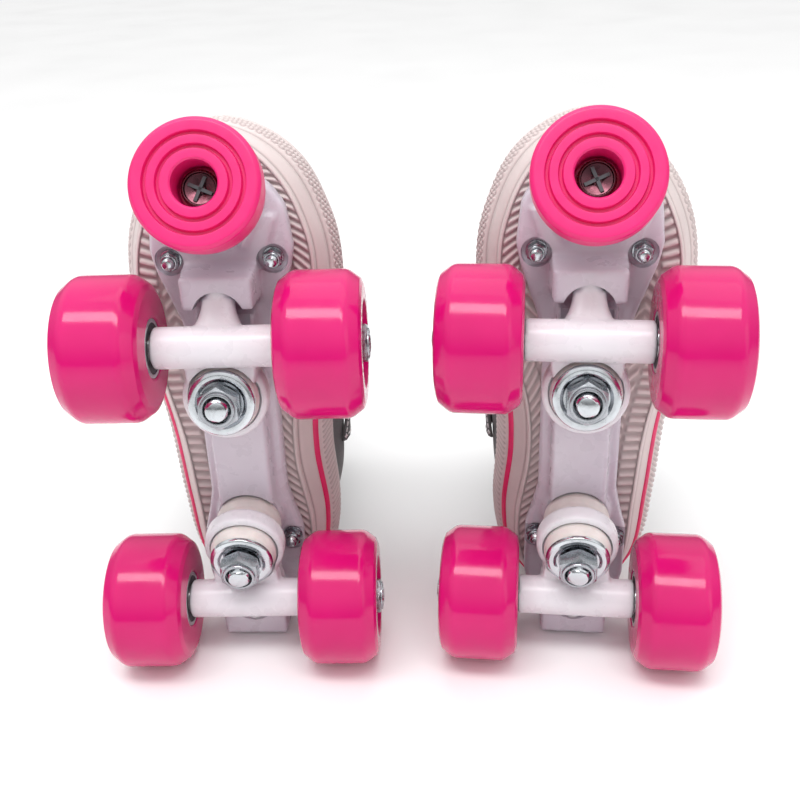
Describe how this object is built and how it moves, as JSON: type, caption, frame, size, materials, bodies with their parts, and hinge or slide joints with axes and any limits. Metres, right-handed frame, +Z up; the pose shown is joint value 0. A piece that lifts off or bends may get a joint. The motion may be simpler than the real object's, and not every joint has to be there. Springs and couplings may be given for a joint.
{
  "type": "quad roller skates",
  "caption": "Pair of quad roller skates: sneaker boots on cream cupsoles, white plates and trucks, hot-pink wheels and toe stops, lying on their heels with the soles shown.",
  "frame": {"origin": "middle of the pair's bounding box in X and Y, on the floor that the rear wheels touch", "axes": "+Z up, which is towards the toes because the pair lies on its heels; the soles and wheels face -Y and the boots' collars face +Y; +X runs across the pair from the right skate to the left skate. To stand the pair on its wheels, turn it by -90 degrees about X, so that -Y comes to point down."},
  "size_m": [0.2464, 0.2044, 0.2198],
  "materials": {
    "canvas": "matt",
    "trim": "matt",
    "cream": "satin",
    "nylon": "satin",
    "pink": "gloss",
    "pink_rubber": "satin",
    "steel": "polished",
    "urethane": "satin"
  },
  "bodies": {
    "right_chassis": {"right_outsole": "cream", "right_upper": "canvas", "right_tongue": "canvas", "right_strap_lower": "trim", "right_strap_upper": "trim", "right_plate": "nylon", "right_toe_stop": "pink_rubber", "right_toe_stop_bolt": "steel", "right_front_kingpin": "steel", "right_front_kingpin_nut": "steel", "right_front_washer": "steel", "right_front_lower_cushion": "urethane", "right_front_upper_cushion": "urethane", "right_rear_kingpin": "steel", "right_rear_kingpin_nut": "steel", "right_rear_washer": "steel", "right_rear_lower_cushion": "urethane", "right_rear_upper_cushion": "urethane"},
    "right_front_truck": {"right_front_hanger": "nylon", "right_front_axle": "steel"},
    "right_front_inner_wheel": {"right_front_inner_wheel": "pink", "right_front_inner_bearings": "steel"},
    "right_front_outer_wheel": {"right_front_outer_wheel": "pink", "right_front_outer_bearings": "steel"},
    "right_rear_truck": {"right_rear_hanger": "nylon", "right_rear_axle": "steel"},
    "right_rear_inner_wheel": {"right_rear_inner_wheel": "pink", "right_rear_inner_bearings": "steel"},
    "right_rear_outer_wheel": {"right_rear_outer_wheel": "pink", "right_rear_outer_bearings": "steel"},
    "left_chassis": {"left_outsole": "cream", "left_upper": "canvas", "left_tongue": "canvas", "left_strap_lower": "trim", "left_strap_upper": "trim", "left_plate": "nylon", "left_toe_stop": "pink_rubber", "left_toe_stop_bolt": "steel", "left_front_kingpin": "steel", "left_front_kingpin_nut": "steel", "left_front_washer": "steel", "left_front_lower_cushion": "urethane", "left_front_upper_cushion": "urethane", "left_rear_kingpin": "steel", "left_rear_kingpin_nut": "steel", "left_rear_washer": "steel", "left_rear_lower_cushion": "urethane", "left_rear_upper_cushion": "urethane"},
    "left_front_truck": {"left_front_hanger": "nylon", "left_front_axle": "steel"},
    "left_front_inner_wheel": {"left_front_inner_wheel": "pink", "left_front_inner_bearings": "steel"},
    "left_front_outer_wheel": {"left_front_outer_wheel": "pink", "left_front_outer_bearings": "steel"},
    "left_rear_truck": {"left_rear_hanger": "nylon", "left_rear_axle": "steel"},
    "left_rear_inner_wheel": {"left_rear_inner_wheel": "pink", "left_rear_inner_bearings": "steel"},
    "left_rear_outer_wheel": {"left_rear_outer_wheel": "pink", "left_rear_outer_bearings": "steel"}
  },
  "joints": [
    {"name": "left_skate_slide", "type": "slide", "parent": "right_chassis", "child": "left_chassis", "axis": [1, 0, 0], "range_m": [0, 0.3]},
    {"name": "right_front_truck_steer", "type": "hinge", "parent": "right_chassis", "child": "right_front_truck", "pos_m": [-0.06702, -0.06478, 0.11718], "axis": [-0.0035, 0.165, 0.9863], "range_deg": [-7, 7], "stiffness_Nm_per_rad": 15, "deforming": ["right_front_lower_cushion", "right_front_upper_cushion"]},
    {"name": "right_front_inner_wheel_spin", "type": "hinge", "parent": "right_front_truck", "child": "right_front_inner_wheel", "pos_m": [-0.0285, -0.07019, 0.1397], "axis": [-0.9998, -0.0209, 0], "continuous": true},
    {"name": "right_front_outer_wheel_spin", "type": "hinge", "parent": "right_front_truck", "child": "right_front_outer_wheel", "pos_m": [-0.10528, -0.0718, 0.1397], "axis": [-0.9998, -0.0209, 0], "continuous": true},
    {"name": "right_rear_truck_steer", "type": "hinge", "parent": "right_chassis", "child": "right_rear_truck", "pos_m": [-0.06702, -0.06478, 0.04952], "axis": [-0.0035, 0.165, -0.9863], "range_deg": [-7, 7], "stiffness_Nm_per_rad": 15, "deforming": ["right_rear_lower_cushion", "right_rear_upper_cushion"]},
    {"name": "right_rear_inner_wheel_spin", "type": "hinge", "parent": "right_rear_truck", "child": "right_rear_inner_wheel", "pos_m": [-0.0285, -0.07019, 0.027], "axis": [-0.9998, -0.0209, 0], "continuous": true},
    {"name": "right_rear_outer_wheel_spin", "type": "hinge", "parent": "right_rear_truck", "child": "right_rear_outer_wheel", "pos_m": [-0.10528, -0.0718, 0.027], "axis": [-0.9998, -0.0209, 0], "continuous": true},
    {"name": "left_front_truck_steer", "type": "hinge", "parent": "left_chassis", "child": "left_front_truck", "pos_m": [0.06737, -0.0649, 0.11718], "axis": [0.0144, 0.1644, 0.9863], "range_deg": [-7, 7], "stiffness_Nm_per_rad": 15, "deforming": ["left_front_lower_cushion", "left_front_upper_cushion"]},
    {"name": "left_front_inner_wheel_spin", "type": "hinge", "parent": "left_front_truck", "child": "left_front_inner_wheel", "pos_m": [0.02857, -0.06775, 0.1397], "axis": [0.9962, -0.0872, 0], "continuous": true},
    {"name": "left_front_outer_wheel_spin", "type": "hinge", "parent": "left_front_truck", "child": "left_front_outer_wheel", "pos_m": [0.10508, -0.07444, 0.1397], "axis": [0.9962, -0.0872, 0], "continuous": true},
    {"name": "left_rear_truck_steer", "type": "hinge", "parent": "left_chassis", "child": "left_rear_truck", "pos_m": [0.06737, -0.0649, 0.04952], "axis": [0.0144, 0.1644, -0.9863], "range_deg": [-7, 7], "stiffness_Nm_per_rad": 15, "deforming": ["left_rear_lower_cushion", "left_rear_upper_cushion"]},
    {"name": "left_rear_inner_wheel_spin", "type": "hinge", "parent": "left_rear_truck", "child": "left_rear_inner_wheel", "pos_m": [0.02857, -0.06775, 0.027], "axis": [0.9962, -0.0872, 0], "continuous": true},
    {"name": "left_rear_outer_wheel_spin", "type": "hinge", "parent": "left_rear_truck", "child": "left_rear_outer_wheel", "pos_m": [0.10508, -0.07444, 0.027], "axis": [0.9962, -0.0872, 0], "continuous": true}
  ]
}
